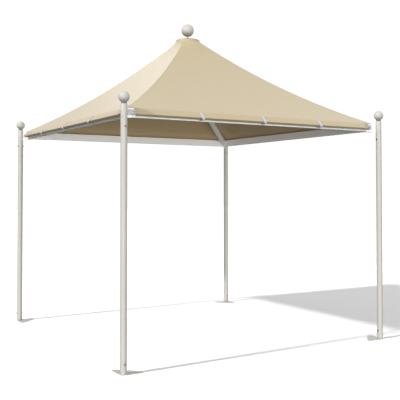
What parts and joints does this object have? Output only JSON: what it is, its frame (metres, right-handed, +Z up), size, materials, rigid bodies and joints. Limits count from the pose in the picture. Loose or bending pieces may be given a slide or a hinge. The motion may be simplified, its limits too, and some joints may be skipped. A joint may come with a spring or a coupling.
{
  "type": "garden gazebo",
  "caption": "Garden gazebo: round steel posts with ball tops, an open square frame and a concave peaked fabric roof with a round crown.",
  "frame": {"origin": "centre of the bounding box's floor face, midway between the posts", "axes": "+X to the right along the front, +Y from the front to the back, +Z up"},
  "size_m": [3.1, 3.1, 3.4975],
  "materials": {
    "post_steel": "satin off-white paint",
    "ball_steel": "satin off-white paint",
    "foot_steel": "satin off-white paint",
    "frame_steel": "satin light grey paint",
    "bracket_steel": "satin light grey paint",
    "hook_steel": "zinc plated",
    "canopy_cloth": "woven, matt"
  },
  "bodies": {
    "root": {"post_front_left": "post_steel", "post_head_front_left": "post_steel", "post_ball_front_left": "ball_steel", "foot_front_left": "foot_steel", "rafter_front_left": "frame_steel", "corner_bracket_front_left": "bracket_steel", "post_front_right": "post_steel", "post_head_front_right": "post_steel", "post_ball_front_right": "ball_steel", "foot_front_right": "foot_steel", "rafter_front_right": "frame_steel", "corner_bracket_front_right": "bracket_steel", "post_back_left": "post_steel", "post_head_back_left": "post_steel", "post_ball_back_left": "ball_steel", "foot_back_left": "foot_steel", "rafter_back_left": "frame_steel", "corner_bracket_back_left": "bracket_steel", "post_back_right": "post_steel", "post_head_back_right": "post_steel", "post_ball_back_right": "ball_steel", "foot_back_right": "foot_steel", "rafter_back_right": "frame_steel", "corner_bracket_back_right": "bracket_steel", "eave_beam_front": "frame_steel", "eave_hook_front_1": "hook_steel", "eave_hook_front_2": "hook_steel", "eave_hook_front_3": "hook_steel", "eave_beam_back": "frame_steel", "eave_hook_back_1": "hook_steel", "eave_hook_back_2": "hook_steel", "eave_hook_back_3": "hook_steel", "eave_beam_left": "frame_steel", "eave_hook_left_1": "hook_steel", "eave_hook_left_2": "hook_steel", "eave_hook_left_3": "hook_steel", "eave_beam_right": "frame_steel", "eave_hook_right_1": "hook_steel", "eave_hook_right_2": "hook_steel", "eave_hook_right_3": "hook_steel", "rafter_hub": "frame_steel", "king_post": "frame_steel", "crown_pan": "frame_steel", "crown_ball": "ball_steel", "canopy_front": "canopy_cloth", "canopy_right": "canopy_cloth", "canopy_back": "canopy_cloth", "canopy_left": "canopy_cloth", "canopy_crown": "canopy_cloth"}
  },
  "joints": []
}
